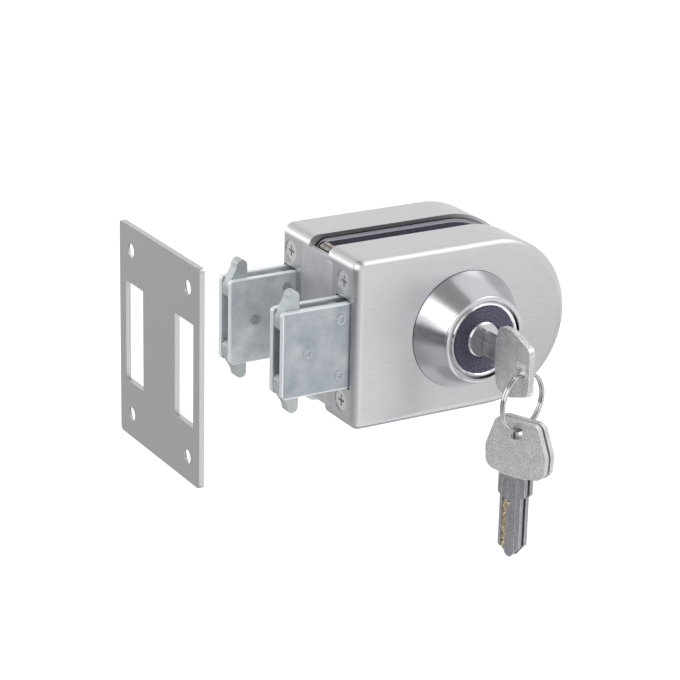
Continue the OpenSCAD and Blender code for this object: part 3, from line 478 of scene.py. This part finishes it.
# %% Rubber between case and glass
# Dark moulded rubber: not a metal, so it keeps its own colour and only a dull sheen. The rear
# pad's lip stands a little proud of the case. Its face on the glass stays dark, its side is painted
# pale grey as a painted highlight, and behind that a black band is painted shade in the gap between
# the pad and the case.
rubber, tree, shader = bare_metal("moulded_rubber", "#474753", 0.5, 0.0)
pores = pattern(tree, 0.25)
tree.links.new(between(tree, pores, 0.45, 0.6), shader.inputs["Roughness"])
relief(tree, shader, pores, 0.01)
place = add(tree, "ShaderNodeTexCoord")
parts = add(tree, "ShaderNodeSeparateXYZ", links={0: place.outputs["Object"]})
pad_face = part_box("rear_pad")[0].y
lip_highlight_mask = add(tree, "ShaderNodeMapRange", {
    "From Min": pad_face + 0.04 * MM, "From Max": pad_face + 0.08 * MM}, {"Value": parts.outputs["Y"]})
gap_shade_mask = add(tree, "ShaderNodeMapRange", {
    "From Min": pad_face + 0.55 * MM, "From Max": pad_face + 0.6 * MM}, {"Value": parts.outputs["Y"]})
pale = add(tree, "ShaderNodeMix", {7: linear("#B4B4BE")}, {
    0: lip_highlight_mask.outputs[0], 6: shade(tree, pattern(tree, 2), "#4E4E5A", "#5C5C69")}, data_type="RGBA")
dark = add(tree, "ShaderNodeMix", {7: linear("#0C0C0E")}, {0: gap_shade_mask.outputs[0], 6: pale.outputs[2]},
           data_type="RGBA")
tree.links.new(dark.outputs[2], shader.inputs["Base Color"])
print("rubber finish")

# %% [markdown]
# ## Finishes on the solid parts
# A solid part keeps its shape, and its material slots are simply given the new finish.

# %% Hand out the finishes
FINISHES = {
    satin_nickel: ("front_cover", "rear_cover"),
    chassis_nickel: ("front_chassis", "rear_chassis", "edge_strip", "cylinder_bracket", "bridge_block"),
    turned_nickel: ("escutcheon", "plug"),
    polished_ring: ("ring_nut",),
    gunmetal: ("face_disc",),
    plated_steel: ("front_outer_plate", "front_rack_plate", "front_root_spacer", "rear_root_spacer",
                   "front_centre_sleeve", "rear_centre_sleeve", "pinion", "tail_clip"),
    clouded_steel_with_painted_light: ("rear_outer_plate", "rear_inner_plate"),
    peened_steel: ("front_root_rivets", "rear_root_rivets", "front_claw_pivots", "rear_claw_pivots",
                   "front_centre_rivet", "rear_centre_rivet"),
    cast_zinc: ("front_upper_claw", "front_lower_claw", "rear_upper_claw", "rear_lower_claw"),
    bright_nickel: ("clamp_screws", "front_end_screws", "rear_end_screws", "cylinder_screws",
                    "bracket_screws", "bridge_screws"),
    drawn_wire: ("key_ring", "pin_springs"),
    lock_key_metal: ("lock_key",),
    spare_key_metal: ("spare_key_front", "spare_key_rear"),
    rolled_steel: ("strike_plate",),
    cut_brass: ("cylinder_body", "driver_pins", "key_pins", "chamber_caps"),
    rubber: ("front_pad", "rear_pad"),
}
for finish, names in FINISHES.items():
    for name in names:
        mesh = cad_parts[name].data
        mesh.materials.clear()
        mesh.materials.append(finish)
plain = sorted(set(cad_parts) - {name for names in FINISHES.values() for name in names})
print("nodes without a finish:", plain or "none")

# %% [markdown]
# ## Softened edges
# No stamped or cast edge is perfectly sharp: a tenth of a millimetre or more is always broken, and
# that facet catches the light as a bright line. The solid model leaves it out, because it would
# weigh down every other use of the part. Modifiers add it here without touching the mesh: Weld
# joins the loose triangles, Decimate merges the flat ones into whole faces, Bevel breaks the edges
# and Weighted Normal keeps the big faces flat.

# %% Break the edges
def soften(names, width, segments=2):
    for name in names:
        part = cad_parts[name]
        part.modifiers.new("join_triangles", "WELD").merge_threshold = 0.002 * MM
        flatten = part.modifiers.new("whole_faces", "DECIMATE")
        flatten.decimate_type = "DISSOLVE"
        flatten.angle_limit = math.radians(0.5)
        edge = part.modifiers.new("broken_edge", "BEVEL")
        edge.limit_method = "ANGLE"
        edge.angle_limit = math.radians(40)
        edge.width = width * MM
        edge.segments = segments
        part.modifiers.new("flat_faces", "WEIGHTED_NORMAL").keep_sharp = True
    print("softened:", len(names), "parts by", width, "mm")


soften(("front_outer_plate", "front_rack_plate", "rear_outer_plate", "rear_inner_plate"), 0.5, 4)
soften(("front_upper_claw", "front_lower_claw", "rear_upper_claw", "rear_lower_claw"), 0.35, 3)
soften(("lock_key", "spare_key_front", "spare_key_rear"), 0.16, 3)
soften(("strike_plate",), 0.18)
soften(("edge_strip",), 0.2)

# %% [markdown]
# ## Threads on the clamp screws
# The two long screws that pull the halves together show bare thread between the rubber pads. A
# thread follows a rule, a ridge wound round a core at an even pitch, so Geometry Nodes build it:
# a spiral curve is swept with a three-sided profile, then copied to each screw. The pitch, the
# length, the radius of the thread and of its ridge, and the spacing are inputs of the tree.

# %% Thread tree
def input_socket(tree, name, kind):
    return tree.interface.new_socket(name, in_out="INPUT", socket_type=kind).identifier


def geometry_tree(name):
    tree = bpy.data.node_groups.new(name, "GeometryNodeTree")
    tree.interface.new_socket("Geometry", in_out="OUTPUT", socket_type="NodeSocketGeometry")
    return tree


thread_tree = geometry_tree("screw_threads")
THREAD = {name: input_socket(thread_tree, name, kind) for name, kind in (
    ("Pitch", "NodeSocketFloat"), ("Length", "NodeSocketFloat"), ("Radius", "NodeSocketFloat"),
    ("Ridge", "NodeSocketFloat"), ("Spacing", "NodeSocketFloat"), ("Finish", "NodeSocketMaterial"))}
given = add(thread_tree, "NodeGroupInput").outputs
turns = add(thread_tree, "ShaderNodeMath", links={0: given["Length"], 1: given["Pitch"]}, operation="DIVIDE")
coil = add(thread_tree, "GeometryNodeCurveSpiral", {"Resolution": 20}, {
    "Rotations": turns.outputs[0], "Start Radius": given["Radius"], "End Radius": given["Radius"],
    "Height": given["Length"]})
ridge = add(thread_tree, "GeometryNodeCurvePrimitiveCircle", {"Resolution": 3}, {"Radius": given["Ridge"]})
swept = add(thread_tree, "GeometryNodeCurveToMesh", {"Fill Caps": True}, {
    "Curve": coil.outputs["Curve"], "Profile Curve": ridge.outputs["Curve"]})
lying = add(thread_tree, "GeometryNodeTransform", {"Rotation": (-math.pi / 2, 0, 0)},
            {"Geometry": swept.outputs["Mesh"]})
step = add(thread_tree, "ShaderNodeCombineXYZ", links={"Z": given["Spacing"]})
places = add(thread_tree, "GeometryNodeMeshLine", {"Count": 2}, {"Offset": step.outputs[0]})
copies = add(thread_tree, "GeometryNodeInstanceOnPoints", links={
    "Points": places.outputs[0], "Instance": lying.outputs[0]})
real = add(thread_tree, "GeometryNodeRealizeInstances", links={0: copies.outputs[0]})
dressed = add(thread_tree, "GeometryNodeSetMaterial", links={
    "Geometry": real.outputs[0], "Material": given["Finish"]})
add(thread_tree, "NodeGroupOutput", links={0: dressed.outputs[0]})
print("thread tree:", len(thread_tree.nodes), "nodes")


# %% From tree to plain mesh
# A tree's inputs are set by their identifiers on an empty seed, the result becomes a plain mesh, and
# one copy goes to each place.
def grow(name, tree, values, places):
    seed = bpy.data.objects.new(name + "_seed", bpy.data.meshes.new(name + "_seed"))
    bpy.context.scene.collection.objects.link(seed)
    modifier = seed.modifiers.new("grow", "NODES")
    modifier.node_group = tree
    for identifier, value in values.items():
        modifier[identifier] = value
    bpy.context.view_layer.update()
    grown = bpy.data.meshes.new_from_object(seed.evaluated_get(bpy.context.evaluated_depsgraph_get()))
    bpy.data.objects.remove(seed)
    joined = bmesh.new()
    for place in places:
        copy = grown.copy()
        copy.transform(place)
        joined.from_mesh(copy)
        bpy.data.meshes.remove(copy)
    mesh = bpy.data.meshes.new(name)
    joined.to_mesh(mesh)
    joined.free()
    mesh.materials.append(grown.materials[-1])
    mesh.polygons.foreach_set("material_index", [0] * len(mesh.polygons))
    bpy.data.meshes.remove(grown)
    piece = bpy.data.objects.new(name, mesh)
    bpy.context.scene.collection.objects.link(piece)
    print(name, "has", len(mesh.polygons), "faces")
    return piece


# %% Threads in place
# Zinc-plated steel: a warm grey on the ridges, and the screw's core between them a dark brown-grey.
# A real thread of this size has a pitch of 0.7 mm, too fine for the picture, so it is 1.1 mm here.
threaded_steel, tree, shader = bare_metal("threaded_steel", "#B5ADA6", 0.28)
relief(tree, shader, pattern(tree, 0.2), 0.006)
dark_core, tree, shader = bare_metal("dark_thread_core", "#3A3634", 0.4)
relief(tree, shader, pattern(tree, 0.3), 0.01)
screw_low, screw_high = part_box("clamp_screws")
head_radius = 3.2 * MM  # the two heads end the screws' box, so their axes lie this far inside it
pad_face, far_pad_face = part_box("front_pad")[1].y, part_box("rear_pad")[0].y
thread = grow("clamp_screw_threads", thread_tree, {
    THREAD["Pitch"]: 1.1 * MM, THREAD["Length"]: far_pad_face - pad_face, THREAD["Radius"]: 2.05 * MM,
    THREAD["Ridge"]: 0.42 * MM, THREAD["Spacing"]: screw_high.z - screw_low.z - 2 * head_radius,
    THREAD["Finish"]: threaded_steel}, [Matrix.Translation((
        (screw_low.x + screw_high.x) / 2, pad_face, screw_low.z + head_radius))])
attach(thread, "case")
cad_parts["clamp_screws"].data.materials[0] = dark_core

# %% [markdown]
# ## Milled tracks on the keys
# The code of these keys is a wavy track that a cutter mills into the wide groove on each face. It
# goes through the plating, so it shows bare brass, whose glints are partly painted into its colour.
# It could be cut with a boolean, but it is only a few hundredths of a millimetre deep. A strip laid
# in the groove looks the same: a long grid, pushed sideways by a noise with a fixed seed, given a
# thickness, and copied to the other face by half a turn about the key's long axis.

# %% Track tree
STRIP_THICKNESS = 0.03 * MM
track_tree = geometry_tree("milled_track")
TRACK = {name: input_socket(track_tree, name, kind) for name, kind in (
    ("Length", "NodeSocketFloat"), ("Width", "NodeSocketFloat"), ("Sway", "NodeSocketFloat"),
    ("Wave", "NodeSocketFloat"), ("Seed", "NodeSocketFloat"), ("Place", "NodeSocketVector"),
    ("Finish", "NodeSocketMaterial"))}
given = add(track_tree, "NodeGroupInput").outputs
strip = add(track_tree, "GeometryNodeMeshGrid", {"Vertices X": 120, "Vertices Y": 2}, {
    "Size X": given["Length"], "Size Y": given["Width"]})
here = add(track_tree, "GeometryNodeInputPosition")
along = add(track_tree, "ShaderNodeVectorMath", {1: (1, 0, 0)}, {0: here.outputs[0]}, operation="MULTIPLY")
rate = add(track_tree, "ShaderNodeMath", {0: 1.0}, {1: given["Wave"]}, operation="DIVIDE")
noise = add(track_tree, "ShaderNodeTexNoise", {"Detail": 1.0}, {
    "Vector": along.outputs[0], "W": given["Seed"], "Scale": rate.outputs[0]}, noise_dimensions="4D")
aside = add(track_tree, "ShaderNodeMapRange", {
    "From Min": 0.3, "From Max": 0.7, "To Min": -1.0, "To Max": 1.0}, {"Value": noise.outputs["Fac"]})
shift = add(track_tree, "ShaderNodeMath", links={0: aside.outputs[0], 1: given["Sway"]}, operation="MULTIPLY")
sideways = add(track_tree, "ShaderNodeCombineXYZ", links={"Y": shift.outputs[0]})
wavy = add(track_tree, "GeometryNodeSetPosition", links={
    "Geometry": strip.outputs["Mesh"], "Offset": sideways.outputs[0]})
raised = add(track_tree, "GeometryNodeExtrudeMesh", {"Offset Scale": STRIP_THICKNESS, "Individual": False},
             {"Mesh": wavy.outputs[0]})
under = add(track_tree, "GeometryNodeFlipFaces", links={0: wavy.outputs[0]})
shell = add(track_tree, "GeometryNodeJoinGeometry")
for half in (under.outputs[0], raised.outputs["Mesh"]):
    track_tree.links.new(half, shell.inputs[0])
sealed = add(track_tree, "GeometryNodeMergeByDistance", {"Distance": 0.001 * MM},
             {"Geometry": shell.outputs[0]})
laid = add(track_tree, "GeometryNodeTransform", links={
    "Geometry": sealed.outputs[0], "Translation": given["Place"]})
turned_over = add(track_tree, "GeometryNodeTransform", {"Rotation": (math.pi, 0, 0)},
                  {"Geometry": laid.outputs[0]})
both = add(track_tree, "GeometryNodeJoinGeometry")
for face in (laid.outputs[0], turned_over.outputs[0]):
    track_tree.links.new(face, both.inputs[0])
dressed = add(track_tree, "GeometryNodeSetMaterial", links={
    "Geometry": both.outputs[0], "Material": given["Finish"]})
add(track_tree, "NodeGroupOutput", links={0: dressed.outputs[0]})
print("track tree:", len(track_tree.nodes), "nodes")

# %% Where each key lies
# A key's own axes: X along it to the tip, Y across it, Z through it. The tip is one side of its
# box. The bow fills the box across, and the blade's middle lies 1.2 mm from the bow's, towards Y.
# The spare keys hang turned about the upright.
BLADE, BOW_DROP = 23.2 * MM, 1.2 * MM
SPARE_TURN = 24  # degrees


def key_place(node, along, across, tip):
    low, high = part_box(node)
    along, across = Vector(along), Vector(across)
    middle = (low + high) / 2 + across * BOW_DROP
    start = middle + along * (tip(low, high) - middle.dot(along) - BLADE)
    return Matrix.Translation(start) @ Matrix((along, across, along.cross(across))).transposed().to_4x4()


across_angle = math.radians(90 + SPARE_TURN)
SPARE_ACROSS = (math.cos(across_angle), math.sin(across_angle), 0)
lock_key_place = key_place("lock_key", (0, 1, 0), (0, 0, 1), lambda low, high: high.y)
spare_key_places = [key_place(node, (0, 0, -1), SPARE_ACROSS, lambda low, high: -low.z)
                    for node in ("spare_key_front", "spare_key_rear")]
for place in [lock_key_place] + spare_key_places:
    print("a blade starts at", [round(v / MM, 1) for v in place.translation], "mm")

# %% Tracks in place
# The groove floor, painted in shade, is a straight strip of nearly the groove's width that stands
# 0.01 mm out of the groove's own floor, and the track lies a little higher. Where the cutter plunges
# in, at the track's start, it also skims the face beside the groove. A strip's place is its middle:
# along the blade from its start, then across it and out from its middle.
GROOVE_LINE = -2.5 * MM
GROOVE_FLOOR, BLADE_FACE = 0.35 * MM, 0.95 * MM  # out from the blade's middle
floor_values = {
    TRACK["Length"]: 18.9 * MM, TRACK["Width"]: 1.9 * MM, TRACK["Sway"]: 0.0, TRACK["Wave"]: 3 * MM,
    TRACK["Seed"]: 1.0, TRACK["Place"]: (10.6 * MM, GROOVE_LINE, GROOVE_FLOOR - 0.02 * MM),
    TRACK["Finish"]: groove_floor_painted_shade}
track_values = {
    TRACK["Length"]: 18.5 * MM, TRACK["Width"]: 1.1 * MM, TRACK["Sway"]: 0.4 * MM, TRACK["Wave"]: 3 * MM,
    TRACK["Seed"]: 3.0, TRACK["Place"]: (11.0 * MM, GROOVE_LINE, GROOVE_FLOOR), TRACK["Finish"]: cut_brass}
plunge_values = track_values | {
    TRACK["Length"]: 2.4 * MM, TRACK["Width"]: 1.2 * MM, TRACK["Sway"]: 0.15 * MM, TRACK["Wave"]: 1.2 * MM,
    TRACK["Place"]: (2.7 * MM, -0.8 * MM, BLADE_FACE - 0.01 * MM)}
STRIPS = (("groove_floors", floor_values, "key_nickel"), ("tracks", track_values, "brass"),
          ("plunge_cuts", plunge_values, "brass"))
for key, body, places in (("lock_key", "key_body", [lock_key_place]),
                          ("spare_key", "spare_keys_body", spare_key_places)):
    for part, values, slot in STRIPS:
        strips = grow(f"{key}_{part}", track_tree, values, places)
        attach(strips, body)
